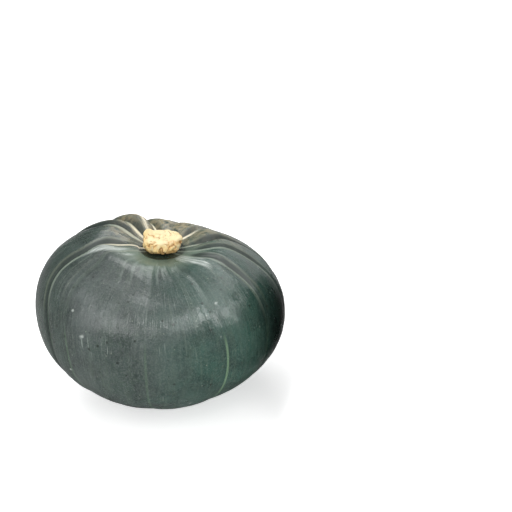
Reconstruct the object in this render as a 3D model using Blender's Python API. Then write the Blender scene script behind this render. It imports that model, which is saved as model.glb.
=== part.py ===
# Kabocha squash: a broad, flattened fruit with shallow lobes, and the corky stem button on it.
# Metres, +Z up. It stands on a flat ring round the blossom end, with +Z through the stem.

import math

import bmesh
import bpy
from mathutils import Matrix, Vector, noise

# ---- Driving dimensions, in metres unless a name says otherwise ----

BODY_RADIUS = 0.0850       # half the width across the lobes
HALF_HEIGHT = 0.0622       # half the height of the rounded form, before its ends are shaped
FULLNESS = 2.10            # exponent of the upright profile: 2 is an ellipse, more is squarer
RESTING_CUT = 0.0025       # how much of the rounded underside the resting ring takes off

STEM_BASIN_DEPTH = 0.0171  # how far the stem end sinks below the rounded form
STEM_BASIN_FLOOR = 0.0060  # radius at which the basin's side starts
STEM_BASIN_RIM = 0.0460    # radius at which the basin runs out on the shoulder
SEAT_RADIUS = 0.0150       # radius of the level seat under the stem

SCAR_DEPTH = 0.0016        # how far the blossom scar sinks into the underside
SCAR_FLOOR = 0.0040        # radius at which the scar's side starts
SCAR_RIM = 0.0125          # radius at which the scar meets the resting ring

# Furrows, anticlockwise from above: azimuth at the stem, on the shoulder and at the side
# (degrees), then depth on the shoulder and at the side.
FURROWS = (
    (13, 23, 12, 0.0036, 0.0014),
    (49, 54, 56, 0.0030, 0.0016),
    (76, 78, 80, 0.0008, 0.0006),
    (101, 108, 118, 0.0042, 0.0018),
    (130, 131, 138, 0.0036, 0.0018),
    (144, 154, 165, 0.0032, 0.0018),
    (177, 198, 213, 0.0034, 0.0016),
    (200, 217, 227, 0.0010, 0.0005),
    (262, 265, 266, 0.0005, 0.0004),
    (294, 301, 303, 0.0008, 0.0006),
    (329, 332, 329, 0.0026, 0.0008),
    (349, 359, 354, 0.0022, 0.0006),
)
SHOULDER_ANGLE = 50        # height angles (degrees) at which those azimuths hold:
STEM_ANGLE = 75            # the shoulder's, and the stem's above this one
SIDE_ANGLE = -10           # and the side's below this one

# The lobe from the furrow of the same place in the list to the next one: how far its crest on
# the shoulder stands above the rounded form, and where it lies, from 0 to 1 across the lobe.
LOBE_CRESTS = (
    (0.0002, 0.45), (0.0000, 0.50), (0.0000, 0.50), (0.0020, 0.55), (-0.0004, 0.55),
    (-0.0014, 0.62), (-0.0006, 0.55), (0.0, 0.50), (0.0, 0.50), (0.0, 0.50),
    (-0.0002, 0.45), (0.0, 0.45),
)
LOBE_ROUNDNESS = 0.85      # exponent of a lobe's section: 0.5 is an arc, 1 a parabola
CREASE_SHARE = 0.55        # how much of a furrow's depth is the narrow crease at its bottom
CREASE_WIDTH = 0.0030      # how far that crease reaches to each side

# Where the grown form is fuller (+) or leaner (-) than a turned one:
# azimuth, height angle, spread (degrees), height.
SWELLS = (
    (175, 42, 34, 0.0050),
    (182, 82, 6, 0.0080),
    (188, 68, 9, -0.0046),
    (42, 50, 26, -0.0034),
    (268, 56, 26, -0.0145),
    (22, 62, 18, 0.0010),
    (5, 42, 36, -0.0042),
    (86, 54, 27, -0.0046),
    (205, -47, 42, -0.0030),
    (335, -45, 36, -0.0036),
)

FURROW_START = 0.0120      # radius on the stem end at which the furrows begin
FURROW_FULL = 0.0380       # radius on the stem end at which they reach their depth
SHOULDER_END = 0.0560      # radius above which they start to fade down the side
UNDERSIDE_DEPTH = 0.0008   # their depth on the rounded underside
RING_END = 0.0260          # radius inside which the underside has no furrows or swellings

STEM_RADIUS = 0.0132       # half the width of the stem button
STEM_HEIGHT = 0.0078       # from its flat underside to its top
STEM_EDGE = 0.0026         # how far its top edge is rounded over
STEM_GAP = 0.0003          # between the stem's underside and its seat
STEM_CROWN = 0.0005        # rise of its top from the edge to the middle
STEM_WAIST = 0.88          # radius of its underside, as a share of its widest
STEM_OFFSET = 0.0014       # how far it grows to the +X side of the middle
STEM_LUMPS = 0.0016        # how far its cork stands in and out
STEM_GRAIN = 0.0060        # size of those lumps
STEM_SEED = 3.7            # which part of the noise field shapes them

RIND_COLOUR = (0.062, 0.085, 0.070)
CORK_COLOUR = (0.760, 0.580, 0.320)

LOBE_STEPS = 10            # mesh steps across each lobe
MERIDIAN_STEPS = 40        # mesh steps from the blossom end to the stem end
STEM_STEPS = 40            # mesh steps round the stem
STEM_EDGE_STEPS = 4        # mesh steps over its rounded top edge
SHARP_ANGLE = 38.0         # degrees between faces at which an edge shades sharp


# ---- Shape of the fruit ----

def smooth(low, high, value):
    """Rises smoothly from 0 at low to 1 at high, level at both ends."""
    x = min(1.0, max(0.0, (value - low) / (high - low)))
    return x * x * x * (x * (6.0 * x - 15.0) + 10.0)


def mix(a, b, share):
    return a + (b - a) * share


def middle_height():
    return HALF_HEIGHT - RESTING_CUT


def profile(angle):
    """Radius and height of the rounded form at a height angle from -90 to 90 degrees."""
    power = 2.0 / FULLNESS
    radius = BODY_RADIUS * abs(math.cos(angle)) ** power
    height = math.copysign(HALF_HEIGHT * abs(math.sin(angle)) ** power, angle)
    return radius, height


def furrow_weights(radius, upper):
    """Shares of the shoulder, side and underside depths that count at this radius."""
    if upper:
        begun = smooth(FURROW_START, FURROW_FULL, radius)
        shoulder = 1.0 - smooth(SHOULDER_END, BODY_RADIUS, radius)
        return begun * shoulder, begun * (1.0 - shoulder), 0.0
    side = smooth(SHOULDER_END, BODY_RADIUS, radius)
    under = smooth(RING_END, SHOULDER_END, radius)
    return 0.0, side, under * (1.0 - side)


def furrow_azimuth(index, angle):
    """Azimuth in radians of a furrow, which drifts sideways as it runs down from the stem."""
    turns, place = divmod(index, len(FURROWS))
    stem, shoulder, side = FURROWS[place][:3]
    height_angle = math.degrees(angle)
    down = smooth(SIDE_ANGLE, SHOULDER_ANGLE, height_angle)
    up = smooth(SHOULDER_ANGLE, STEM_ANGLE, height_angle)
    azimuth = mix(side, shoulder, down) + (stem - shoulder) * up
    return math.radians(azimuth + 360.0 * turns)


def furrow_depth(index, weights):
    top, side = FURROWS[index % len(FURROWS)][3:]
    return top * weights[0] + side * weights[1] + min(side, UNDERSIDE_DEPTH) * weights[2]


def swell(azimuth, angle):
    """Height of the broad swellings at a direction from the fruit's middle."""
    total = 0.0
    for swell_azimuth, swell_angle, spread, height in SWELLS:
        turn = math.radians(swell_azimuth) - azimuth
        rise = math.radians(swell_angle)
        cosine = math.sin(angle) * math.sin(rise)
        cosine += math.cos(angle) * math.cos(rise) * math.cos(turn)
        away = math.degrees(math.acos(min(1.0, max(-1.0, cosine)))) / spread
        total += height * math.exp(-away * away)
    return total


def lobe_section(across, place):
    """Height across a lobe: 0 in its furrows and 1 on its crest, which lies at this place."""
    if place > 0.5:
        leant = across ** (math.log(0.5) / math.log(place))
    else:
        leant = 1.0 - (1.0 - across) ** (math.log(0.5) / math.log(1.0 - place))
    return (4.0 * leant * (1.0 - leant)) ** LOBE_ROUNDNESS


def skin_offset(index, across, width, weights):
    """How far the skin of a lobe this wide stands out from the rounded form, or in from it."""
    before, after = furrow_depth(index, weights), furrow_depth(index + 1, weights)
    valley = -mix(before, after, across) * (1.0 - CREASE_SHARE)
    ridge, place = LOBE_CRESTS[index % len(LOBE_CRESTS)]
    away = min(across, 1.0 - across) * width / CREASE_WIDTH
    crease = (before if across < 0.5 else after) * CREASE_SHARE * math.exp(-away ** 1.6)
    return mix(valley, ridge * weights[0], lobe_section(across, place)) - crease


def basin(radius):
    """Depth of the stem basin at this radius."""
    return STEM_BASIN_DEPTH * (1.0 - smooth(STEM_BASIN_FLOOR, STEM_BASIN_RIM, radius))


def seat_height():
    """Height of the level seat that the stem stands on."""
    share = (1.0 - (SEAT_RADIUS / BODY_RADIUS) ** FULLNESS) ** (1.0 / FULLNESS)
    return middle_height() + HALF_HEIGHT * share - basin(SEAT_RADIUS)


def skin_point(turn, angle):
    """Point of the skin: turn counts lobes from the first furrow, angle is the height angle."""
    index = math.floor(turn)
    across = turn - index
    upper = angle > 0.0
    radius, height = profile(angle)
    before, after = furrow_azimuth(index, angle), furrow_azimuth(index + 1, angle)
    azimuth = mix(before, after, across)

    reach = smooth(0.0, STEM_BASIN_RIM, radius) if upper else smooth(RING_END, SHOULDER_END, radius)
    weights = furrow_weights(radius, upper)
    offset = skin_offset(index, across, (after - before) * radius, weights)
    offset += swell(azimuth, angle) * reach
    slope = math.atan2(math.sin(angle) * BODY_RADIUS, math.cos(angle) * HALF_HEIGHT)
    radius += offset * math.cos(slope)
    height += offset * math.sin(slope) + middle_height()

    if upper:
        height -= basin(radius)
        if radius < SEAT_RADIUS:
            height = min(height, seat_height())
    else:
        height = max(0.0, height)
        height += SCAR_DEPTH * (1.0 - smooth(SCAR_FLOOR, SCAR_RIM, radius))
    return Vector((radius * math.cos(azimuth), radius * math.sin(azimuth), height))


def make_body():
    """The fruit: a sphere whose every point is carried to the skin."""
    lobes = len(FURROWS)
    form = bmesh.new()
    bmesh.ops.create_uvsphere(form, u_segments=lobes * LOBE_STEPS, v_segments=MERIDIAN_STEPS,
                              radius=1.0)
    for vert in form.verts:
        angle = math.asin(min(1.0, max(-1.0, vert.co.z)))
        around = math.atan2(vert.co.y, vert.co.x) / math.tau
        vert.co = skin_point((around % 1.0) * lobes, angle)
    return finish_object("squash_body", form, make_material("green_rind", RIND_COLOUR, 0.42))


# ---- Stem ----

def stem_profile():
    """Outline of the stem button from the middle of its underside to the middle of its top."""
    edge_centre = (STEM_RADIUS - STEM_EDGE, STEM_HEIGHT - STEM_EDGE)
    points = [(0.0, 0.0), (STEM_RADIUS * 0.45, 0.0), (STEM_RADIUS * STEM_WAIST, 0.0),
              (STEM_RADIUS, STEM_HEIGHT * 0.38)]
    for step in range(STEM_EDGE_STEPS + 1):
        angle = math.radians(90.0 * step / STEM_EDGE_STEPS)
        points.append((edge_centre[0] + STEM_EDGE * math.cos(angle),
                       edge_centre[1] + STEM_EDGE * math.sin(angle)))
    for share in (0.66, 0.36, 0.0):
        points.append((edge_centre[0] * share, STEM_HEIGHT + STEM_CROWN * (1.0 - share)))
    return points


def make_stem():
    """The corky button where the fruit was cut from its vine."""
    form = bmesh.new()
    verts = [form.verts.new((radius, 0.0, height)) for radius, height in stem_profile()]
    edges = [form.edges.new(pair) for pair in zip(verts, verts[1:])]
    bmesh.ops.spin(form, geom=verts + edges, cent=(0.0, 0.0, 0.0), axis=(0.0, 0.0, 1.0),
                   angle=math.tau, steps=STEM_STEPS, use_merge=True)
    bmesh.ops.remove_doubles(form, verts=form.verts[:], dist=1e-6)
    for vert in form.verts:
        outward = Vector((vert.co.x, vert.co.y, 0.0))
        rise = min(1.0, vert.co.z / STEM_EDGE)
        field = noise.noise(Vector((vert.co.x, vert.co.y, vert.co.z)) / STEM_GRAIN
                            + Vector((0.0, 0.0, STEM_SEED)))
        lump = STEM_LUMPS * field * rise
        reach = outward.length / STEM_RADIUS
        vert.co += outward.normalized() * lump * reach if outward.length > 0.0 else Vector()
        vert.co.z += lump * 0.5
    for vert in form.verts:
        vert.co += Vector((STEM_OFFSET, 0.0, seat_height() + STEM_GAP))
    return finish_object("stem", form, make_material("cork", CORK_COLOUR, 0.85))


# ---- Objects and materials ----

def make_material(name, colour, roughness):
    material = bpy.data.materials.new(name)
    material.use_nodes = True
    shader = material.node_tree.nodes["Principled BSDF"]
    shader.inputs["Base Color"].default_value = (*colour, 1.0)
    shader.inputs["Roughness"].default_value = roughness
    shader.inputs["Metallic"].default_value = 0.0
    return material


def finish_object(name, form, material):
    """Turns the working form into a smooth-shaded object in the scene."""
    bmesh.ops.recalc_face_normals(form, faces=form.faces[:])
    mesh = bpy.data.meshes.new(name)
    form.to_mesh(mesh)
    form.free()
    mesh.materials.append(material)
    mesh.shade_smooth()
    mesh.set_sharp_from_angle(angle=math.radians(SHARP_ANGLE))
    thing = bpy.data.objects.new(name, mesh)
    bpy.context.scene.collection.objects.link(thing)
    return thing


def stand_on_origin(things):
    """Moves the meshes so that the middle of the whole object's base is the origin."""
    points = [vert.co for thing in things for vert in thing.data.vertices]
    low = Vector([min(point[axis] for point in points) for axis in range(3)])
    high = Vector([max(point[axis] for point in points) for axis in range(3)])
    shift = Vector(((low.x + high.x) / -2.0, (low.y + high.y) / -2.0, -low.z))
    for thing in things:
        thing.data.transform(Matrix.Translation(shift))


def main():
    for thing in list(bpy.data.objects):
        bpy.data.objects.remove(thing, do_unlink=True)
    stand_on_origin([make_body(), make_stem()])


main()
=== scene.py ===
import math

import bpy
import numpy as np
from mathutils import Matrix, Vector, noise


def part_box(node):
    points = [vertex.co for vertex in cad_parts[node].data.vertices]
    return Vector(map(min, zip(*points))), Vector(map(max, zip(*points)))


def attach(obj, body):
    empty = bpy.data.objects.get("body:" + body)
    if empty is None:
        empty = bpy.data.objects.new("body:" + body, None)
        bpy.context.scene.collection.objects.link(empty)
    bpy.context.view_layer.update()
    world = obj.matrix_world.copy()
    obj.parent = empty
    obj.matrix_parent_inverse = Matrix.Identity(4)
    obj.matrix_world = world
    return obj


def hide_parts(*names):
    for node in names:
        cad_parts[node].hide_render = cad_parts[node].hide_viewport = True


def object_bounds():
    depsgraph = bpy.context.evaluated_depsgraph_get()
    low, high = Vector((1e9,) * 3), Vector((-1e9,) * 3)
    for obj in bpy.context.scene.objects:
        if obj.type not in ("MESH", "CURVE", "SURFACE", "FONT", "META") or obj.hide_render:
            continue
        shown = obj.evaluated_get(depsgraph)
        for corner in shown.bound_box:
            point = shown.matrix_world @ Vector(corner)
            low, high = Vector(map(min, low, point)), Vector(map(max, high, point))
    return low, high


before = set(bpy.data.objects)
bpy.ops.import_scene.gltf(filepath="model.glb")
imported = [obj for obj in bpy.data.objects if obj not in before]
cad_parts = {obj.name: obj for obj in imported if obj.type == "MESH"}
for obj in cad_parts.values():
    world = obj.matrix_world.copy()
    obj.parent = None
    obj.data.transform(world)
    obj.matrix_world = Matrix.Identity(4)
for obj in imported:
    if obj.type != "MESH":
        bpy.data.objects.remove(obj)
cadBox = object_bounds()
print("frame loaded:", sorted(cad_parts))


# helpers for shapes: most work on whole arrays of points at once

def smooth(low, high, value):  # 0 below low, 1 above high, level at both ends
    x = np.clip((value - low) / (high - low), 0.0, 1.0)
    return x * x * x * (x * (6.0 * x - 15.0) + 10.0)


def mix(a, b, share):
    return a + (b - a) * share


def waves(points, size, seed):  # smooth noise from -1 to 1, with bumps of this size
    shift = Vector((seed, seed * 1.7, seed * 0.6))
    return np.array([noise.noise(Vector(point) / size + shift) for point in points])


def ridges(points, size, seed):  # 1 along thin wandering lines, falling to 0 between them
    return 1.0 - np.minimum(1.0, np.abs(waves(points, size, seed)) * 4.0)


def ringDirections(aroundSteps, upSteps):  # azimuth and height angle of each point, foot to top
    rise = np.linspace(-math.pi / 2.0, math.pi / 2.0, upSteps + 1)
    around = np.arange(aroundSteps) / aroundSteps * math.tau
    azimuth, angle = np.meshgrid(around, rise[1:-1])
    return (np.concatenate([[0.0], azimuth.ravel(), [0.0]]),
            np.concatenate([rise[:1], angle.ravel(), rise[-1:]]))


def ringFaces(aroundSteps, upSteps):  # closes those points into one skin
    step = np.arange(aroundSteps)
    after = (step + 1) % aroundSteps
    faces = [(0, 1 + b, 1 + a) for a, b in zip(step, after)]
    for ring in range(upSteps - 2):
        low, high = 1 + ring * aroundSteps, 1 + (ring + 1) * aroundSteps
        faces += np.stack([low + step, low + after, high + after, high + step], axis=1).tolist()
    last, top = 1 + (upSteps - 2) * aroundSteps, 1 + (upSteps - 1) * aroundSteps
    return faces + [(last + a, last + b, top) for a, b in zip(step, after)]


def roundPoints(radius, azimuth, height):
    return np.stack([radius * np.cos(azimuth), radius * np.sin(azimuth), height], axis=1)


def fitToBox(points, low, high):  # stretches the points by a hair so that they fill this box
    least, span = points.min(0), np.ptp(points, axis=0)
    return np.array(low) + (points - least) / span * (np.array(high) - np.array(low))


def newObject(name, points, faces, material):
    mesh = bpy.data.meshes.new(name)
    mesh.from_pydata(np.asarray(points).tolist(), [], [[int(v) for v in face] for face in faces])
    mesh.shade_smooth()
    mesh.materials.append(material)
    made = bpy.data.objects.new(name, mesh)
    bpy.context.scene.collection.objects.link(made)
    return made


def writeLayers(made, layers):  # one number or one vector a vertex, for the material to read
    for name, values in layers.items():
        kind, field = ("FLOAT", "value") if values.ndim == 1 else ("FLOAT_VECTOR", "vector")
        written = made.data.attributes.new(name, kind, "POINT")
        written.data.foreach_set(field, values.astype(np.float32).ravel())


# fruit: one sphere, every point of which is carried to the lobed skin, in metres and degrees

fruit = {
    "radius": 0.0850,
    "halfHeight": 0.0622,
    "fullness": 2.10,  # 2 would be an ellipse
    "restingCut": 0.0025,
    "basinDepth": 0.0171,
    "basinFloor": 0.0060,
    "basinRim": 0.0460,
    "seatRadius": 0.0150,
    "seatDepth": 0.0157,
    "scarDepth": 0.0016,
    "scarFloor": 0.0040,
    "scarRim": 0.0125,
    "shoulderAngle": 50,
    "stemAngle": 75,
    "sideAngle": -10,
    "lobeRoundness": 0.85,
    "creaseShare": 0.55,
    "creaseWidth": 0.0030,
    "creaseSharpness": 1.6,
    "slopeStep": 0.01,  # share of a lobe over which its slope is measured
    "leastStep": 0.0001,
    "furrowStart": 0.0120,
    "furrowFull": 0.0380,
    "shoulderEnd": 0.0560,
    "undersideDepth": 0.0008,
    "ringEnd": 0.0260,
    "lumpSize": 0.026,
    "lumpHeight": 0.00045,
    "dimpleSize": 0.0075,
    "dimpleHeight": 0.00013,
    "ribCount": (9.0, 1.1),  # how many round, how many from stem to foot
    "ribHeight": 0.00020,
    "wrinkleCount": (6.0, 0.7),
    "wrinkleHeight": 0.00055,
    "fineWrinkleCount": (15.0, 1.2),
    "fineWrinkleShare": 0.5,
    "wrinkleEnd": 0.0580,
    "veinRise": 0.00030,
    "veinWidth": 0.0014,
    "veinReach": 0.0010,
    "edgeWidth": 0.0052,
    "lobeSteps": 36,
    "meridianSteps": 220,
}

# each furrow: azimuth at the stem, on the shoulder and at the side, its depth on the shoulder
# and at the side, then how far the next lobe's crest stands out and how far across it lies,
# then how pale the furrow's line is near the stem, on the shoulder and at the side
furrows = np.array([
    (13, 23, 12, 0.0036, 0.0014, 0.0002, 0.45, 0.10, 0.80, 0.2),
    (49, 54, 56, 0.0030, 0.0016, 0.0000, 0.50, 0.85, 0.60, 0.1),
    (76, 78, 80, 0.0008, 0.0006, 0.0000, 0.50, 0.05, 0.10, 0.1),
    (101, 108, 118, 0.0042, 0.0018, 0.0020, 0.55, 1.00, 0.80, 0.1),
    (130, 131, 138, 0.0036, 0.0018, -0.0004, 0.55, 0.90, 0.80, 0.1),
    (144, 154, 165, 0.0032, 0.0018, -0.0014, 0.62, 0.35, 0.85, 0.2),
    (177, 198, 213, 0.0034, 0.0016, -0.0006, 0.55, 0.80, 0.85, 0.3),
    (200, 217, 227, 0.0010, 0.0005, 0.0, 0.50, 0.10, 0.15, 0.4),
    (262, 265, 266, 0.0005, 0.0004, 0.0, 0.50, 0.00, 0.05, 0.25),
    (294, 301, 303, 0.0008, 0.0006, 0.0, 0.50, 0.00, 0.00, 1.0),
    (329, 332, 329, 0.0026, 0.0008, -0.0002, 0.45, 0.00, 0.60, 0.2),
    (349, 359, 354, 0.0022, 0.0006, 0.0, 0.45, 0.00, 0.80, 0.1),
])
furrowColumns = {"azimuths": slice(0, 3), "depths": slice(3, 5), "crestRise": 5, "crestPlace": 6,
                 "paleness": slice(7, 10)}

# where it grew fuller or leaner than a turned form: azimuth, height angle, spread, height
swells = [
    (175, 42, 34, 0.0050),
    (182, 82, 6, 0.0080),
    (188, 68, 9, -0.0046),
    (42, 50, 26, -0.0034),
    (268, 56, 26, -0.0145),
    (22, 62, 18, 0.0010),
    (5, 42, 36, -0.0042),
    (86, 54, 27, -0.0046),
    (205, -47, 42, -0.0030),
    (335, -45, 36, -0.0036),
]

# pale streaks beside the stem (painted highlights in front of it, a cream line behind it), and short dark
# marks of painted shade in small dimples: place, length toward the stem, width, strength
streaksAndDimples = [
    (0.0195, -0.0180, 0.010, 0.0038, 1.6),
    (0.035, -0.019, 0.009, 0.0034, 1.1),
    (0.029, -0.026, 0.009, 0.0024, 0.6),
    (-0.031, -0.008, 0.010, 0.0034, 0.8),
    (-0.040, -0.016, 0.012, 0.0030, 0.6),
    (-0.022, -0.015, 0.007, 0.0024, 0.6),
    (-0.0138, 0.0305, 0.017, 0.0014, 1.0),
    (-0.013, -0.031, 0.004, 0.0012, -0.8),
    (0.001, -0.034, 0.006, 0.0013, -0.8),
    (-0.014, -0.050, 0.004, 0.0012, -0.6),
]

# small pale flecks: place and size
paleFlecks = [
    (-0.048, -0.069, 0.075, 0.0011),
    (-0.037, -0.058, 0.018, 0.0013),
    (0.042, -0.062, 0.096, 0.0008),
    (-0.056, -0.058, 0.046, 0.0007),
    (-0.012, -0.078, 0.034, 0.0006),
    (0.050, 0.052, 0.085, 0.0009),
]


def furrowValues(index, column):
    return furrows[index % len(furrows)][:, furrowColumns[column]]


def furrowAzimuth(index, angle):
    stem, shoulder, side = furrowValues(index, "azimuths").T
    down = smooth(fruit["sideAngle"], fruit["shoulderAngle"], np.degrees(angle))
    up = smooth(fruit["shoulderAngle"], fruit["stemAngle"], np.degrees(angle))
    turns = index // len(furrows)
    return np.radians(mix(side, shoulder, down) + (stem - shoulder) * up + 360.0 * turns)


def furrowDepth(index, shares):
    top, side = furrowValues(index, "depths").T
    return top * shares[0] + side * shares[1] + np.minimum(side, fruit["undersideDepth"]) * shares[2]


def depthShares(radius, upper):  # how much of the shoulder, side and underside depths count here
    begun = smooth(fruit["furrowStart"], fruit["furrowFull"], radius)
    side = smooth(fruit["shoulderEnd"], fruit["radius"], radius)
    under = smooth(fruit["ringEnd"], fruit["shoulderEnd"], radius) * (1.0 - side)
    return (np.where(upper, begun * (1.0 - side), 0.0),
            np.where(upper, begun * side, side), np.where(upper, 0.0, under))


def swell(azimuth, angle):
    total = np.zeros_like(angle)
    for swellAzimuth, swellAngle, spread, height in swells:
        rise = math.radians(swellAngle)
        cosine = np.sin(angle) * math.sin(rise)
        cosine += np.cos(angle) * math.cos(rise) * np.cos(math.radians(swellAzimuth) - azimuth)
        away = np.degrees(np.arccos(np.clip(cosine, -1.0, 1.0))) / spread
        total += height * np.exp(-away * away)
    return total


def lobeProfile(across, place):  # 0 in the furrows, 1 on the crest, which lies at this place
    late = np.maximum(place, 0.5)
    early = np.maximum(1.0 - place, 0.5)
    leant = np.where(place > 0.5, across ** (math.log(0.5) / np.log(late)),
                     1.0 - (1.0 - across) ** (math.log(0.5) / np.log(early)))
    return (4.0 * leant * (1.0 - leant)) ** fruit["lobeRoundness"]


def lobeRelief(turn, width, shares):  # height of the lobes at each point, and how steep they are
    index = np.floor(turn).astype(int)
    across = turn - index
    place = furrowValues(index, "crestPlace")
    depth = mix(furrowDepth(index, shares), furrowDepth(index + 1, shares), across)
    peak = furrowValues(index, "crestRise") * shares[0]
    nearDepth = furrowDepth(np.round(turn).astype(int), shares)

    def lobesAt(part):  # this part of the way from one furrow to the next
        away = np.minimum(part, 1.0 - part) * width / fruit["creaseWidth"]
        crease = nearDepth * fruit["creaseShare"] * np.exp(-away ** fruit["creaseSharpness"])
        crest = lobeProfile(part, place)
        return mix(-depth * (1.0 - fruit["creaseShare"]), peak, crest) - crease

    near = np.maximum(0.0, across - fruit["slopeStep"])
    far = np.minimum(1.0, across + fruit["slopeStep"])
    run = np.maximum(fruit["leastStep"], (far - near) * width)
    return lobesAt(across), np.abs((lobesAt(far) - lobesAt(near)) / run)


def skinRelief(spots, flow, radius, upper, reach):  # lumps, dimples, ribs, and wrinkles by the stem
    def folds(name, seed):
        around, along = fruit[name]
        return waves(flow * (around, around, along), 1.0, seed)

    total = waves(spots, fruit["lumpSize"], 4.0) * fruit["lumpHeight"] * reach
    total += waves(spots, fruit["dimpleSize"], 6.0) * fruit["dimpleHeight"] * reach
    total += folds("ribCount", 2.0) * fruit["ribHeight"] * reach
    nearStem = smooth(fruit["furrowStart"], fruit["furrowFull"], radius) * upper
    nearStem *= 1.0 - smooth(fruit["furrowFull"], fruit["wrinkleEnd"], radius)
    wrinkles = folds("wrinkleCount", 8.0)
    wrinkles += fruit["fineWrinkleShare"] * folds("fineWrinkleCount", 3.0)
    return total + wrinkles * fruit["wrinkleHeight"] * nearStem


def hollow(radius, height, upper):  # sinks the basin with the stem's seat, and the scar below
    basin = fruit["basinDepth"] * (1.0 - smooth(fruit["basinFloor"], fruit["basinRim"], radius))
    scar = fruit["scarDepth"] * (1.0 - smooth(fruit["scarFloor"], fruit["scarRim"], radius))
    fullness = fruit["fullness"]
    seatTop = (1.0 - (fruit["seatRadius"] / fruit["radius"]) ** fullness) ** (1.0 / fullness)
    seatTop = fruit["halfHeight"] * (1.0 + seatTop) - fruit["restingCut"] - fruit["seatDepth"]
    sunk = height - basin
    seated = np.where(radius < fruit["seatRadius"], np.minimum(sunk, seatTop), sunk)
    return np.where(upper, seated, np.maximum(0.0, height) + scar)


# how strongly each pale streak (above 0) and each dimple's painted shade (below 0) lies on each point
def streakAndDimpleShare(points, upper):
    total = np.zeros(len(points))
    for markX, markY, length, width, strength in streaksAndDimples:
        reached = math.hypot(markX, markY)
        inward = (points[:, 0] * markX + points[:, 1] * markY) / reached - reached
        aside = (points[:, 0] * markY - points[:, 1] * markX) / reached
        total += strength * np.exp(-(inward / length) ** 2 - (aside / width) ** 2) * upper
    return total


def fleckShare(points):
    most = np.zeros(len(points))
    middle = np.array((0.0, 0.0, fruit["halfHeight"]))
    for fleckX, fleckY, fleckZ, size in paleFlecks:
        toward = np.array((fleckX, fleckY, fleckZ)) - middle
        outward = points - middle
        outward *= (np.linalg.norm(toward) / np.linalg.norm(outward, axis=1))[:, None]
        most = np.maximum(most, np.exp(-(np.linalg.norm(outward - toward, axis=1) / size) ** 4))
    return most


def makeFruit(material):
    steps = len(furrows) * fruit["lobeSteps"], fruit["meridianSteps"]
    around, angle = ringDirections(*steps)
    upper = angle > 0.0
    power = 2.0 / fruit["fullness"]
    radius = fruit["radius"] * np.abs(np.cos(angle)) ** power
    height = np.sign(angle) * fruit["halfHeight"] * np.abs(np.sin(angle)) ** power
    flow = np.stack([np.cos(around), np.sin(around), angle], axis=1)

    turn = around / math.tau * len(furrows)
    index, nearest = np.floor(turn).astype(int), np.round(turn).astype(int)
    across = turn - index
    before, after = furrowAzimuth(index, angle), furrowAzimuth(index + 1, angle)
    azimuth = mix(before, after, across)
    width = (after - before) * radius
    gap = np.minimum(across, 1.0 - across) * width
    frontSide = np.where(across < 0.5, 1.0, -1.0) * -np.sign(np.cos(azimuth))

    begun = smooth(fruit["furrowStart"], fruit["furrowFull"], radius)
    ended = smooth(fruit["furrowFull"], fruit["wrinkleEnd"], radius)
    reach = np.where(upper, smooth(0.0, fruit["basinRim"], radius),
                     smooth(fruit["ringEnd"], fruit["shoulderEnd"], radius))
    offset, steepness = lobeRelief(turn, width, depthShares(radius, upper))
    offset += swell(azimuth, angle) * reach
    offset += skinRelief(roundPoints(radius, azimuth, height), flow, radius, upper, reach)
    veinRise = fruit["veinRise"] * furrowValues(nearest, "paleness")[:, 0] * upper * (1.0 - ended)
    offset += veinRise * np.exp(-(gap / fruit["veinReach"]) ** 2)

    slope = np.arctan2(np.sin(angle) * fruit["radius"], np.cos(angle) * fruit["halfHeight"])
    radius = radius + offset * np.cos(slope)
    height = height + offset * np.sin(slope) + fruit["halfHeight"] - fruit["restingCut"]
    points = roundPoints(radius, azimuth, hollow(radius, height, upper))
    made = newObject("rind", fitToBox(points, *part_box("squash_body")), ringFaces(*steps), material)
    writeLayers(made, {
        "furrowGap": gap,
        "frontGap": gap * frontSide,  # above 0 on the side of the furrow toward the front
        "edgeWidth": mix(fruit["veinWidth"], fruit["edgeWidth"], np.cos(azimuth) ** 2 * begun),
        "steepness": steepness,
        "marked": streakAndDimpleShare(points, upper),
        "flecked": fleckShare(points),
        "flow": flow,
        "veins": furrowValues(nearest, "paleness"),
    })
    return made


# stem: a corky button with an undercut foot, a lump behind, notches and fissures

button = {
    "lump": (-0.0092, 0.0080, 0.0042, 0.0019),  # place, reach and height
    "lumpSize": 0.0060,
    "lumpHeight": 0.0008,
    "knobSize": 0.0022,
    "knobHeight": 0.00060,
    "wanderSize": 0.004,
    "wanderReach": 0.0012,
    "fissureSize": 0.0038,
    "fissureDepth": 0.0012,
    "soundSize": 0.007,  # size of the patches without fissures
    "grainSize": 0.0008,
    "grainHeight": 0.00010,
    "hollowDepth": 0.0006,
    "topShare": 0.5,  # how much of knobs and fissures is left on the flat top
    # shares of the button's height, or of the noise, from which a part counts and is full
    "topPart": (0.35, 0.80),
    "footPart": (0.75, 0.25),
    "lumpPart": (0.40, 1.00),
    "flatTop": (0.80, 0.99),
    "splitPart": (-0.30, 0.10),
    "rootSink": 0.0010,
    "aroundSteps": 300,
    "upSteps": 160,
}

# its section from the middle of its foot to the middle of its top: share of radius and of height
buttonSection = np.array([
    (0.00, 0.00), (0.70, 0.00), (0.80, 0.06), (0.90, 0.22), (0.98, 0.42), (1.00, 0.60),
    (0.985, 0.78), (0.94, 0.90), (0.86, 0.975), (0.70, 1.00), (0.35, 0.98), (0.00, 0.97),
])

# notches and bulges round it: azimuth, spread in degrees, share of radius, from the top or foot
buttonBumps = [
    (135, 20, 0.06, "top"), (88, 26, -0.05, "top"), (21, 4, -0.13, "top"), (118, 5, -0.07, "top"),
    (352, 16, 0.03, "all"), (214, 18, 0.03, "all"), (240, 4, -0.05, "all"), (172, 4, -0.05, "all"),
    (55, 5, -0.05, "all"), (266, 4, -0.16, "foot"), (278, 8, 0.06, "foot"), (308, 5, -0.05, "foot"),
]


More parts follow.
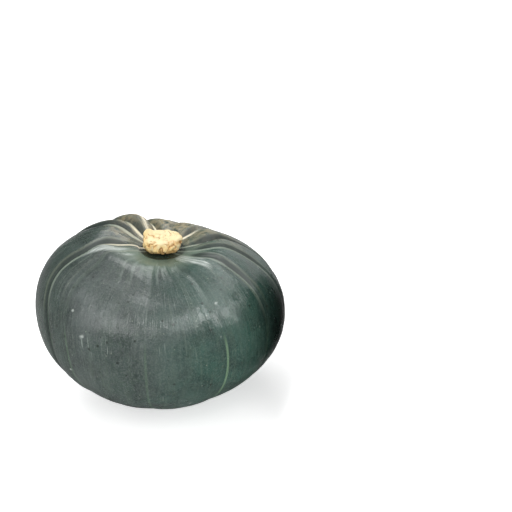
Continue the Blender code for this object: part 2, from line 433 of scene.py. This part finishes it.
def buttonShape(around, angle):  # points of the plain button in its box, and how high each lies
    low, high = (np.array(corner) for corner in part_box("stem"))
    low[2] -= button["rootSink"]
    half, centre = (high - low) / 2.0, (high + low) / 2.0
    path = np.concatenate([[0.0], np.cumsum(np.hypot(*np.diff(buttonSection, axis=0).T))])
    spot = (angle / math.pi + 0.5) * path[-1]
    out = np.interp(spot, path, buttonSection[:, 0])
    rise = np.interp(spot, path, buttonSection[:, 1])
    weights = {"top": smooth(*button["topPart"], rise), "all": 1.0,
               "foot": smooth(*button["footPart"], rise)}
    for azimuth, spread, share, part in buttonBumps:
        away = (np.degrees(around) - azimuth + 180.0) % 360.0 - 180.0
        out = out * (1.0 + share * np.exp(-(away / spread) ** 2) * weights[part])
    points = centre + roundPoints(out, around, rise * 2.0 - 1.0) * half
    lumpX, lumpY, lumpReach, lumpRise = button["lump"]
    away = np.hypot(points[:, 0] - lumpX, points[:, 1] - lumpY) / lumpReach
    points[:, 2] += lumpRise * np.exp(-away ** 4) * smooth(*button["lumpPart"], rise)
    return points, rise


def fissures(points):  # 1 along short wandering splits, in some places only
    drift = [waves(points, button["wanderSize"], seed) for seed in (1.0, 5.0, 9.0)]
    wander = points + button["wanderReach"] * np.stack(drift, axis=1)
    split = ridges(wander * (1.0, 1.0, 0.8), button["fissureSize"], 3.1) ** 2
    return split * smooth(*button["splitPart"], waves(points, button["soundSize"], 6.2))


def makeStem(material):
    steps = button["aroundSteps"], button["upSteps"]
    points, rise = buttonShape(*ringDirections(*steps))
    made = newObject("stemButton", points, ringFaces(*steps), material)
    normals = np.zeros(len(points) * 3)
    made.data.vertex_normals.foreach_get("vector", normals)

    topness = smooth(*button["flatTop"], rise)
    fissure = fissures(points)
    offset = waves(points, button["lumpSize"], 7.3) * button["lumpHeight"]
    offset += waves(points, button["knobSize"], 2.9) * button["knobHeight"]
    offset -= fissure * button["fissureDepth"]
    offset *= mix(1.0, button["topShare"], topness)
    offset += waves(points, button["grainSize"], 5.5) * button["grainHeight"]
    points = points + normals.reshape(-1, 3) * offset[:, None]
    made.data.vertices.foreach_set("co", points.astype(np.float32).ravel())
    made.data.update()
    writeLayers(made, {"fissure": fissure, "topness": topness,
                       "hollow": np.clip(-offset / button["hollowDepth"], -1.0, 1.0)})
    return made


# materials

def join(tree, sockets, place, value):  # links a socket, or sets a plain value
    if isinstance(value, bpy.types.NodeSocket):
        tree.links.new(value, sockets[place])
    else:
        sockets[place].default_value = value


def put(tree, kind, inputs=None, **settings):  # adds a node, then sets or links its inputs
    made = tree.nodes.new("ShaderNode" + kind)
    for name, value in settings.items():
        setattr(made, name, value)
    for name, value in (inputs or {}).items():
        join(tree, made.inputs, name, value)
    return made


def blend(tree, share, first, second):  # one colour laid over another
    made = put(tree, "Mix", data_type="RGBA")
    for place, value in ((0, share), (6, first), (7, second)):
        join(tree, made.inputs, place, value)
    return made.outputs[2]


def ramp(tree, value, low, high, first=0.0, last=1.0):  # value from low to high becomes first to last
    made = put(tree, "MapRange", {"Value": value, "From Min": low, "From Max": high,
                                  "To Min": first, "To Max": last}, interpolation_type="SMOOTHSTEP")
    return made.outputs["Result"]


def times(tree, first, *others):
    for other in others:
        first = put(tree, "Math", {0: first, 1: other}, operation="MULTIPLY").outputs[0]
    return first


def layer(tree, name, output="Fac"):  # what writeLayers wrote
    return put(tree, "Attribute", attribute_name=name).outputs[output]


def noiseRelief(tree, place, scale, detail, height):
    noiseNode = put(tree, "TexNoise", {"Vector": place, "Scale": scale, "Detail": detail})
    return noiseNode.outputs["Fac"], height


def addRelief(tree, shader, heights):  # adds up heights, in metres, and tilts the surface by them
    total = 0.0
    for value, height in heights:
        total = put(tree, "Math", {0: value, 1: height, 2: total}, operation="MULTIPLY_ADD").outputs[0]
    bump = put(tree, "Bump", {"Height": total, "Strength": 1.0, "Distance": 1.0})
    tree.links.new(bump.outputs[0], shader.inputs["Normal"])


def blank(name):
    material = bpy.data.materials.new(name)
    material.use_nodes = True
    return material, material.node_tree, material.node_tree.nodes["Principled BSDF"]


def newGroup(name, inputs, outputs):
    tree = bpy.data.node_groups.new(name, "ShaderNodeTree")
    for label, kind, value in inputs:
        socket = tree.interface.new_socket(label, in_out="INPUT", socket_type="NodeSocket" + kind)
        if value is not None:
            socket.default_value = value
    for label, kind in outputs:
        tree.interface.new_socket(label, in_out="OUTPUT", socket_type="NodeSocket" + kind)
    return tree, tree.nodes.new("NodeGroupInput").outputs, tree.nodes.new("NodeGroupOutput").inputs


def mottleGroup():  # soft clouds
    tree, given, result = newGroup("mottle", [("Vector", "Vector", None), ("Scale", "Float", 40.0),
                                              ("Low", "Float", 0.4), ("High", "Float", 0.6)],
                                   [("Mask", "Float")])
    cloud = put(tree, "TexNoise", {"Vector": given["Vector"], "Scale": given["Scale"],
                                   "Detail": 4.0, "Roughness": 0.6})
    tree.links.new(ramp(tree, cloud.outputs["Fac"], given["Low"], given["High"]), result["Mask"])
    return tree


def specksGroup():  # scattered small dots
    tree, given, result = newGroup("specks", [("Vector", "Vector", None), ("Scale", "Float", 300.0),
                                              ("Size", "Float", 0.2), ("Share", "Float", 0.3)],
                                   [("Mask", "Float")])
    cells = put(tree, "TexVoronoi", {"Vector": given["Vector"], "Scale": given["Scale"]})
    near = put(tree, "Math", {0: given["Size"], 1: cells.outputs["Distance"]}, operation="SUBTRACT")
    dot = ramp(tree, near.outputs[0], 0.0, 0.08)
    pick = put(tree, "SeparateColor", {"Color": cells.outputs["Color"]})
    chosen = put(tree, "Math", {0: pick.outputs["Red"], 1: given["Share"]}, operation="LESS_THAN")
    tree.links.new(times(tree, dot, chosen.outputs[0]), result["Mask"])
    return tree


def useGroup(tree, group, place, labels, values):
    made = tree.nodes.new("ShaderNodeGroup")
    made.node_tree = group
    tree.links.new(place, made.inputs["Vector"])
    for label, value in zip(labels, values):
        made.inputs[label].default_value = value
    return made.outputs[0]


mottle, specks = mottleGroup(), specksGroup()


def clouds(tree, place, values):
    return useGroup(tree, mottle, place, ("Scale", "Low", "High"), values)


def dots(tree, place, values):
    return useGroup(tree, specks, place, ("Scale", "Size", "Share"), values)


rindFinish = {
    "colours": {
        "deepGreen": (0.018, 0.034, 0.028, 1.0),
        "midGreen": (0.038, 0.064, 0.054, 1.0),
        "deepTeal": (0.013, 0.038, 0.030, 1.0),
        "midTeal": (0.024, 0.074, 0.056, 1.0),
        "tealBloom": (0.110, 0.180, 0.155, 1.0),
        "paleGreen": (0.090, 0.130, 0.095, 1.0),
        "bloom": (0.166, 0.182, 0.182, 1.0),
        # painted shade: a near-black green for the furrow walls and the ring under the stem
        "paintedShade": (0.004, 0.014, 0.009, 1.0),
        "cream": (0.92, 0.84, 0.64, 1.0),
        "greyGreen": (0.260, 0.320, 0.255, 1.0),
        "sideVein": (0.165, 0.270, 0.160, 1.0),
        "russet": (0.390, 0.335, 0.205, 1.0),
        "crestHighlight": (0.300, 0.330, 0.240, 1.0),
        # painted highlight colour for the collar in front of the stem
        "highlightSage": (0.210, 0.290, 0.220, 1.0),
        # pale colour of the rubbed hairlines, and of the painted sheen streaks by the stem
        "paleScratchAndSheen": (0.360, 0.420, 0.380, 1.0),
        # pale grey of the painted highlight streaks in front of the stem
        "paleStreak": (0.620, 0.680, 0.640, 1.0),
        "fleck": (0.550, 0.600, 0.560, 1.0),
        "scar": (0.420, 0.330, 0.210, 1.0),
        "speck": (0.260, 0.300, 0.240, 1.0),
        "pit": (0.008, 0.014, 0.010, 1.0),
    },
    # soft clouds: how fine they are, and where they begin and are full
    "clouds": {
        "ground": (60.0, 0.35, 0.65),
        "freckles": (380.0, 0.50, 0.72),
        "haze": (26.0, 0.30, 0.70),
        "grain": (1000.0, 0.46, 0.62),
        "rubbed": (45.0, 0.50, 0.62),
        "patches": (230.0, 0.30, 0.62),
    },
    # clouds drawn out from stem to foot: how many round and along, and where they begin and are full
    "streaks": {
        "broad": (22.0, 1.2, 0.45, 0.75),
        "fine": (80.0, 2.6, 0.45, 0.75),
        "hairs": (110.0, 2.6, 0.58, 0.68),
        # the painted sheen streaks in front of the stem
        "sheenStreaks": (13.0, 0.8, 0.56, 0.70),
        "streakBreakup": (34.0, 2.2, 0.40, 0.56),
    },
    # small dots: their colour, how fine, their size, the share of places with one and their strength
    "dots": [
        ("fleck", 95.0, 0.13, 0.10, 0.70),
        ("pit", 170.0, 0.20, 0.22, 0.70),
        ("pit", 420.0, 0.22, 0.14, 0.60),
        ("speck", 300.0, 0.18, 0.12, 0.55),
    ],
    # where an effect begins and is full, in metres or shares, and its strength at both if not 0 and 1
    "fades": {
        "teal": (-0.020, 0.045),
        # the bloom's fading by side and height, which paints light and shade
        "bloomShadeRight": (0.010, 0.060, 1.0, 0.15),
        "bloomShadeLeft": (-0.070, -0.042, 0.10, 1.0),
        "bloomLightSide": (0.058, 0.090, 0.80, 2.4),
        "bloomShadeTop": (0.096, 0.106, 0.80, 0.2),
        "bloomLightFoot": (0.024, 0.012, 0.80, 3.4),
        "haze": (0.0, 1.0, 0.08, 0.34),
        "hairsRight": (0.0, 1.0, 0.55, 0.15),
        "hairsOut": (0.070, 0.055, 1.0, 0.4),
        "top": (0.070, 0.095),
        "below": (0.080, 0.066),
        "stemEnd": (0.044, 0.026),
        # where shade is painted on the furrow walls
        "wallBehind": (0.0008, -0.0008, 0.2, 1.0),
        "wallSteep": (0.04, 0.42, 0.0, 0.85),
        "wallNear": (0.0050, 0.0100, 1.0, 0.25),
        "wallBack": (0.022, 0.034, 1.0, 0.30),
        "russetBack": (-0.010, 0.030),
        "russetLeft": (-0.042, -0.026),
        "russetOut": (0.066, 0.044),
        "russetIn": (0.010, 0.018),
        "front": (0.004, -0.010),
        "sheenStreaksOut": (0.050, 0.039),
        "sheenStreaksIn": (0.018, 0.024),
        "streaked": (0.0, 1.0, 0.5, 1.0),
        "collarHighlight": (0.040, 0.020),
        # pale streaks: painted highlights in front of the stem, a cream line behind it; dimples get painted
        # shade
        "paleStreak": (0.12, 0.7, 0.0, 0.9),
        "streakBreakup": (0.0, 1.0, 0.25, 1.0),
        "behindStem": (0.008, 0.016),
        "dimpleShade": (-0.15, -0.7, 0.0, 0.7),
        # where the painted highlight runs along the lobe crests, beside the furrows
        "crestHighlightNear": (-0.0066, -0.0050),
        "crestHighlightFar": (-0.0032, -0.0044),
        # the ring of painted contact shadow just under the stem
        "stemShadowRing": (0.0164, 0.0146, 0.0, 0.85),
        "scarOut": (0.0125, 0.0095),
        "scarBelow": (0.020, 0.010),
        "scarPatches": (0.0, 1.0, 0.6, 1.0),
        "edgeAcross": (1.0, 0.3),
        "edgeBehind": (-0.0010, -0.0004),
        "sideVein": (0.0011, 0.0004),
        "roughness": (0.0, 1.0, 0.20, 0.34),
        "lines": (0.070, 0.050, 0.00011, 0.00005),
    },
    # how strongly each colour is laid on
    "strengths": {
        "freckles": 0.40, "broad": 0.35, "fine": 0.35, "grain": 0.32, "russet": 0.85, "collarHighlight": 0.60,
        "sheenStreaks": 0.65, "crest": 0.75, "sideVein": 0.8, "flecking": 0.9,
    },
    "stemMiddle": (0.002, 0.0, 0.0),
    "wallRoughness": 0.35,
    "grainRelief": (900.0, 3.0, 0.00006),  # how fine, how detailed and how high
    "waveRelief": (260.0, 2.0, 0.00028),
}


def fade(tree, name, value):
    return ramp(tree, value, *rindFinish["fades"][name])


def skinClouds(tree, skin, name):
    return clouds(tree, skin["place"], rindFinish["clouds"][name])


def skinStreaks(tree, skin, name):  # in the skin's own directions, so that they run from stem to foot
    around, along, low, high = rindFinish["streaks"][name]
    drawn = put(tree, "VectorMath", {0: skin["flow"], 1: (around, around, along)}, operation="MULTIPLY")
    return clouds(tree, drawn.outputs[0], (1.0, low, high))


def coat(tree, colour, name, mask, strength=None):  # lays one of the rind's colours where the mask is
    share = mask if strength is None else times(tree, mask, rindFinish["strengths"][strength])
    return blend(tree, share, colour, rindFinish["colours"][name])


def skinPlaces(tree):  # where each point of the skin lies, as every effect below reads it
    place = put(tree, "TexCoord").outputs["Object"]
    x, y, height = put(tree, "SeparateXYZ", {0: place}).outputs
    flat = put(tree, "CombineXYZ", {"X": x, "Y": y}).outputs[0]
    fromStem = put(tree, "VectorMath", {0: flat, 1: rindFinish["stemMiddle"]}, operation="DISTANCE")
    stemPale, shoulderPale, sidePale = put(tree, "SeparateXYZ", {0: layer(tree, "veins", "Vector")}).outputs
    skin = {
        "place": place, "x": x, "y": y, "height": height,
        "reach": put(tree, "VectorMath", {0: flat}, operation="LENGTH").outputs["Value"],
        "fromStem": fromStem.outputs["Value"],
        "flow": layer(tree, "flow", "Vector"),
        "gap": layer(tree, "furrowGap"),
        "frontGap": layer(tree, "frontGap"),
        "marked": layer(tree, "marked"),
        "stemPale": stemPale, "shoulderPale": shoulderPale, "sidePale": sidePale,
        "teal": fade(tree, "teal", x),
        "top": fade(tree, "top", height),
        "front": fade(tree, "front", y),
    }
    for name in ("haze", "patches"):
        skin[name] = skinClouds(tree, skin, name)
    skin["fine"] = skinStreaks(tree, skin, "fine")
    return skin


def skinGround(tree, skin):  # green with a paler bloom, greyer on the left and more teal on the right; the bloom's amount by side and height paints light and shade
    tints = rindFinish["colours"]
    dark = blend(tree, skin["teal"], tints["deepGreen"], tints["deepTeal"])
    light = blend(tree, skin["teal"], tints["midGreen"], tints["midTeal"])
    bloom = blend(tree, skin["teal"], tints["bloom"], tints["tealBloom"])
    colour = blend(tree, skinClouds(tree, skin, "ground"), dark, light)
    colour = coat(tree, colour, "paleGreen", skinClouds(tree, skin, "freckles"), "freckles")
    colour = coat(tree, colour, "paleGreen", skinStreaks(tree, skin, "broad"), "broad")
    colour = coat(tree, colour, "paleGreen", skin["fine"], "fine")
    # the bloom is the skin's own; its fading on the right, at the far left and on the top is painted shade,
    # its gain high on the side and at the foot is painted light, at the foot partly real bloom
    haze = times(tree, fade(tree, "haze", skin["haze"]),
                 fade(tree, "bloomShadeRight", skin["x"]), fade(tree, "bloomShadeLeft", skin["x"]))
    for name in ("bloomLightSide", "bloomShadeTop", "bloomLightFoot"):
        haze = times(tree, haze, fade(tree, name, skin["height"]))
    colour = blend(tree, haze, colour, bloom)
    grain = times(tree, skinClouds(tree, skin, "grain"), rindFinish["strengths"]["grain"])
    return blend(tree, grain, colour, bloom)


def skinSpots(tree, skin, colour):  # rubbed hairlines, flecks and pits
    hairs = times(tree, skinStreaks(tree, skin, "hairs"), skinClouds(tree, skin, "rubbed"),
                  fade(tree, "hairsRight", skin["teal"]), fade(tree, "hairsOut", skin["reach"]))
    colour = coat(tree, colour, "paleScratchAndSheen", hairs)
    for name, scale, size, share, strength in rindFinish["dots"]:
        spots = dots(tree, skin["place"], (scale, size, share))
        colour = coat(tree, colour, name, times(tree, spots, strength))
    return colour


def skinTop(tree, skin, colour):  # russet behind the stem, then a sage collar and sheen streaks of painted highlight in front of it, pale streaks (painted highlights in front, a cream line behind) and painted shade in small dimples
    russet = times(tree, fade(tree, "russetBack", skin["y"]), fade(tree, "russetLeft", skin["x"]),
                   skin["top"], fade(tree, "russetOut", skin["reach"]),
                   fade(tree, "russetIn", skin["reach"]), skin["patches"])
    colour = coat(tree, colour, "russet", russet, "russet")
    front = times(tree, skin["front"], skin["top"])
    # painted highlight: a paler sage ring on the skin in front of the stem
    collarHighlight = times(tree, fade(tree, "collarHighlight", skin["reach"]), front)
    colour = coat(tree, colour, "highlightSage", collarHighlight, "collarHighlight")
    # painted sheen: pale streaks drawn out from the stem over the front
    sheenStreaks = times(tree, skinStreaks(tree, skin, "sheenStreaks"), fade(tree, "sheenStreaksOut", skin["reach"]),
                   fade(tree, "sheenStreaksIn", skin["reach"]), front, fade(tree, "streaked", skin["fine"]))
    colour = coat(tree, colour, "paleScratchAndSheen", sheenStreaks, "sheenStreaks")
    # painted highlight: pale streaks in front of the stem, broken up by streaky noise; behind the stem the
    # streak is a cream line
    paleStreak = times(tree, fade(tree, "paleStreak", skin["marked"]),
                 fade(tree, "streakBreakup", skinStreaks(tree, skin, "streakBreakup")))
    tints = rindFinish["colours"]
    paleStreakColour = blend(tree, fade(tree, "behindStem", skin["y"]), tints["paleStreak"], tints["cream"])
    colour = blend(tree, paleStreak, colour, paleStreakColour)
    # painted shade in small dimples in front of the stem
    return coat(tree, colour, "deepGreen", fade(tree, "dimpleShade", skin["marked"]))


def furrowWallShade(tree, skin):  # the steep furrow sides that face away from the front, where shade is painted
    return times(tree, fade(tree, "wallSteep", layer(tree, "steepness")),
                 fade(tree, "wallBehind", skin["frontGap"]), fade(tree, "wallNear", skin["gap"]),
                 fade(tree, "wallBack", skin["y"]))


def skinFurrows(tree, skin, colour, wall):  # painted highlights on the crests, painted shade on the walls and under the stem, then the lines in the furrows
    # painted highlight: pale stripes along the lobe crests next to the furrows
    crest = times(tree, fade(tree, "crestHighlightNear", skin["frontGap"]),
                  fade(tree, "crestHighlightFar", skin["frontGap"]), skin["top"], skin["shoulderPale"],
                  fade(tree, "streaked", skin["fine"]))
    colour = coat(tree, colour, "crestHighlight", crest, "crest")
    # painted shade on the steep furrow walls that face away from the front
    colour = coat(tree, colour, "paintedShade", wall)
    # painted contact shadow: a thin dark ring on the skin just under the stem's edge
    stemShadow = times(tree, fade(tree, "stemShadowRing", skin["fromStem"]), skin["top"])
    colour = coat(tree, colour, "paintedShade", stemShadow)
    scar = times(tree, fade(tree, "scarOut", skin["reach"]), fade(tree, "scarBelow", skin["height"]),
                 fade(tree, "scarPatches", skin["patches"]))
    colour = coat(tree, colour, "scar", scar)
    share = put(tree, "Math", {0: skin["frontGap"], 1: layer(tree, "edgeWidth")}, operation="DIVIDE")
    edge = times(tree, fade(tree, "edgeAcross", share.outputs[0]),
                 fade(tree, "edgeBehind", skin["frontGap"]), skin["top"])
    colour = coat(tree, colour, "greyGreen", times(tree, edge, skin["shoulderPale"]))
    creamy = times(tree, edge, fade(tree, "stemEnd", skin["reach"]), skin["stemPale"])
    colour = coat(tree, colour, "cream", creamy)
    side = times(tree, fade(tree, "sideVein", skin["gap"]), fade(tree, "below", skin["height"]),
                 skin["sidePale"])
    colour = coat(tree, colour, "sideVein", side, "sideVein")
    return coat(tree, colour, "fleck", layer(tree, "flecked"), "flecking")


def makeRind():
    material, tree, shader = blank("greenRind")
    skin = skinPlaces(tree)
    wall = furrowWallShade(tree, skin)
    colour = skinSpots(tree, skin, skinGround(tree, skin))
    colour = skinFurrows(tree, skin, skinTop(tree, skin, colour), wall)
    tree.links.new(colour, shader.inputs["Base Color"])
    rough = put(tree, "Math", {0: wall, 1: rindFinish["wallRoughness"],
                               2: fade(tree, "roughness", skin["haze"])}, operation="MULTIPLY_ADD")
    tree.links.new(rough.outputs[0], shader.inputs["Roughness"])
    addRelief(tree, shader, [noiseRelief(tree, skin["place"], *rindFinish["grainRelief"]),
                             noiseRelief(tree, skin["place"], *rindFinish["waveRelief"]),
                             (skin["fine"], fade(tree, "lines", skin["reach"]))])
    return material


corkFinish = {
    "cream": (0.97, 0.84, 0.52, 1.0),
    "gold": (1.00, 0.72, 0.31, 1.0),
    "tan": (0.80, 0.50, 0.20, 1.0),
    "rust": (0.62, 0.34, 0.11, 1.0),
    "brown": (0.34, 0.155, 0.050, 1.0),
    "green": (0.62, 0.58, 0.26, 1.0),
    # clouds: how fine they are, and where they begin and are full
    "ground": (170.0, 0.38, 0.62),
    "tanPatches": (420.0, 0.48, 0.66),
    "greenPatches": (90.0, 0.52, 0.68),
    # fades: where each begins and is full, then its strength at both
    "leftEdge": (-0.0050, -0.0095, 0.0, 0.65),
    "foot": (0.1094, 0.1068, 0.0, 0.6),
    "hollows": (0.0, 0.9, 0.0, 0.75),
    "splits": (0.25, 0.85, 0.0, 0.90),
    "splitsOnTop": (0.0, 1.0, 1.0, 0.5),
    "tanStrength": 0.45,
    "greenStrength": 0.35,
    "topStrength": 0.75,
    "pits": (700.0, 0.25, 0.25),  # how fine, their size and the share of places with one
    "pitStrength": 0.45,
    "roughness": 0.85,
    "grainRelief": (1600.0, 3.0, 0.00016),
}


def makeCork():
    material, tree, shader = blank("stemCork")
    place = put(tree, "TexCoord").outputs["Object"]
    position = put(tree, "SeparateXYZ", {0: place}).outputs
    topness = layer(tree, "topness")

    def lay(colour, name, mask, strength=1.0):
        return blend(tree, times(tree, mask, strength), colour, corkFinish[name])

    def fading(name, value):
        return ramp(tree, value, *corkFinish[name])

    ground = clouds(tree, place, corkFinish["ground"])
    colour = blend(tree, ground, corkFinish["gold"], corkFinish["cream"])
    tanPatches = clouds(tree, place, corkFinish["tanPatches"])
    colour = lay(colour, "tan", tanPatches, corkFinish["tanStrength"])
    greenPatches = clouds(tree, place, corkFinish["greenPatches"])
    colour = lay(colour, "green", greenPatches, corkFinish["greenStrength"])
    colour = lay(colour, "cream", topness, corkFinish["topStrength"])
    colour = lay(colour, "gold", fading("leftEdge", position["X"]))
    colour = lay(colour, "rust", fading("foot", position["Z"]))
    colour = lay(colour, "tan", fading("hollows", layer(tree, "hollow")))
    splits = times(tree, fading("splits", layer(tree, "fissure")), fading("splitsOnTop", topness))
    colour = lay(colour, "brown", splits)
    colour = lay(colour, "brown", dots(tree, place, corkFinish["pits"]), corkFinish["pitStrength"])
    tree.links.new(colour, shader.inputs["Base Color"])
    shader.inputs["Roughness"].default_value = corkFinish["roughness"]
    addRelief(tree, shader, [noiseRelief(tree, place, *corkFinish["grainRelief"])])
    return material


rind = makeFruit(makeRind())
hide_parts("squash_body")
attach(rind, "root")
print("rind made:", len(rind.data.polygons), "faces")

stem = makeStem(makeCork())
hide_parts("stem")
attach(stem, "root")
print("stem made:", len(stem.data.polygons), "faces")


# floor, light and camera

studio = {
    "floorSize": 6.0,
    "floorGap": 0.0001,
    "floorRoughness": 0.9,
    "floorColour": (0.86, 0.86, 0.86, 1.0),
    "floorMirrored": (0.32, 0.32, 0.32, 1.0),
    "floorGlow": 0.60,  # as the camera sees it
    "floorShine": 0.46,  # as it lights the fruit
    "skyShade": 0.50,
    "skySides": 0.08,
    "flagColour": (0.01, 0.01, 0.01, 1.0),
    "flagPlace": (0.101, 0.013, 0.060),
    "flagSize": (0.153, 0.100),
    "flagTurn": 76,
    "elevation": 25.0,
    "lens": 100.0,
    "distance": 0.97,
    "middleHeight": 0.0586,
    "aimRight": 0.0646,
    "aimUp": 0.0369,
}

# bright parts of the room where it is mirrored: azimuth, height angle, the cosines from its middle
# at which it begins and is full, and how bright it is
zones = {
    "backdrop": (58, 4, 0.78, 0.95, 1.1),
    "front": (270, 76, 0.62, 1.00, 1.40),
    "rightFront": (326, 12, 0.86, 1.00, 0.8),
    "leftFront": (212, 13, 0.88, 1.00, 0.8),
}

# each light: azimuth and height angle seen from the fruit, distance, width, height, brightness,
# and whether it lights the room or is only mirrored in the skin
lights = {
    "topSoftbox": (114, 44, 1.1, 0.85, 0.64, 4.7, True, False),
    "topPane": (57, 56, 1.1, 0.80, 0.46, 4.1, False, True),
    "frontSoftbox": (278, 42, 1.4, 1.50, 1.00, 2.0, True, False),
    "leftWindow": (222, 46, 1.1, 0.54, 0.76, 3.1, False, True),
    "rightPaneNear": (322, 67, 1.1, 0.28, 0.50, 7.6, False, True),
    "rightPaneFar": (347, 39, 1.1, 0.36, 0.58, 8.0, False, True),
}

unitSquare = np.array([(-1, -1, 0), (1, -1, 0), (1, 1, 0), (-1, 1, 0)]) / 2.0
white = (1.0, 1.0, 1.0, 1.0)


def direction(azimuth, rise):
    turn, lift = math.radians(azimuth), math.radians(rise)
    return Vector((math.cos(turn) * math.cos(lift), math.sin(turn) * math.cos(lift), math.sin(lift)))


def makeFloor():  # glows a little in view, and is darker where the skin mirrors it
    material, tree, shader = blank("paleFloor")
    path = put(tree, "LightPath").outputs
    seen = blend(tree, path["Is Glossy Ray"], studio["floorColour"], studio["floorMirrored"])
    tree.links.new(seen, shader.inputs["Base Color"])
    shader.inputs["Roughness"].default_value = studio["floorRoughness"]
    shader.inputs["Emission Color"].default_value = white
    glow = ramp(tree, path["Is Camera Ray"], 0.0, 1.0, studio["floorShine"], studio["floorGlow"])
    glow = times(tree, glow, ramp(tree, path["Is Glossy Ray"], 0.0, 1.0, 1.0, 0.0))
    tree.links.new(glow, shader.inputs["Emission Strength"])
    floor = newObject("floor", unitSquare * studio["floorSize"], [(0, 1, 2, 3)], material)
    floor.location.z = cadBox[0].z - studio["floorGap"]


def makeFlag():  # a dark card beside the fruit, out of sight, to keep that edge of it dark
    material, _, shader = blank("darkFlag")
    shader.inputs["Base Color"].default_value = studio["flagColour"]
    shader.inputs["Roughness"].default_value = 1.0
    flag = newObject("darkFlag", unitSquare, [(0, 1, 2, 3)], material)
    flag.location = studio["flagPlace"]
    flag.rotation_euler = (math.pi / 2.0, 0.0, math.radians(studio["flagTurn"]))
    flag.scale = (*studio["flagSize"], 1.0)
    flag.visible_camera = False


def makeWorld():  # a white backdrop, and dim to the sides where it is mirrored
    world = bpy.data.worlds.new("studioWorld")
    world.use_nodes = True
    tree = world.node_tree
    outward = put(tree, "TexCoord").outputs["Generated"]
    gloss = studio["skySides"]
    for azimuth, rise, begins, full, brightness in zones.values():
        toward = put(tree, "VectorMath", {0: outward, 1: direction(azimuth, rise)},
                     operation="DOT_PRODUCT")
        bright = ramp(tree, toward.outputs["Value"], begins, full, 0.0, brightness)
        gloss = put(tree, "Math", {0: gloss, 1: bright}, operation="ADD").outputs[0]
    path = put(tree, "LightPath").outputs
    level = put(tree, "Mix", {"Factor": path["Is Glossy Ray"], 2: studio["skyShade"], 3: gloss},
                data_type="FLOAT").outputs[0]
    level = put(tree, "Mix", {"Factor": path["Is Camera Ray"], 2: level, 3: 1.0}, data_type="FLOAT")
    background = tree.nodes["Background"]
    background.inputs["Color"].default_value = white
    tree.links.new(level.outputs[0], background.inputs["Strength"])
    bpy.context.scene.world = world


def makeLights(middle):
    for name, (azimuth, rise, distance, width, height, brightness, lit, mirrored) in lights.items():
        light = bpy.data.lights.new(name, "AREA")
        light.shape = "RECTANGLE"
        light.size, light.size_y = width, height
        light.energy = brightness * math.pi * width * height
        away = direction(azimuth, rise)
        holder = bpy.data.objects.new(name, light)
        holder.location = middle + away * distance
        holder.visible_diffuse, holder.visible_glossy = lit, mirrored
        holder.rotation_euler = (-away).to_track_quat("-Z", "Y").to_euler()
        bpy.context.scene.collection.objects.link(holder)


def makeCamera(middle):
    camera = bpy.data.objects.new("camera", bpy.data.cameras.new("camera"))
    camera.data.lens = studio["lens"]
    forward = direction(90.0, -studio["elevation"])
    right = Vector((1.0, 0.0, 0.0))
    camera.location = middle - forward * studio["distance"] + right * studio["aimRight"]
    camera.location += right.cross(forward) * studio["aimUp"]
    camera.rotation_euler = forward.to_track_quat("-Z", "Y").to_euler()
    bpy.context.scene.collection.objects.link(camera)
    bpy.context.scene.camera = camera


middle = (cadBox[0] + cadBox[1]) / 2.0
middle.z = cadBox[0].z + studio["middleHeight"]
makeFloor()
makeFlag()
makeWorld()
makeLights(middle)
makeCamera(middle)
bpy.context.scene.view_settings.view_transform = "Standard"
print("studio set")
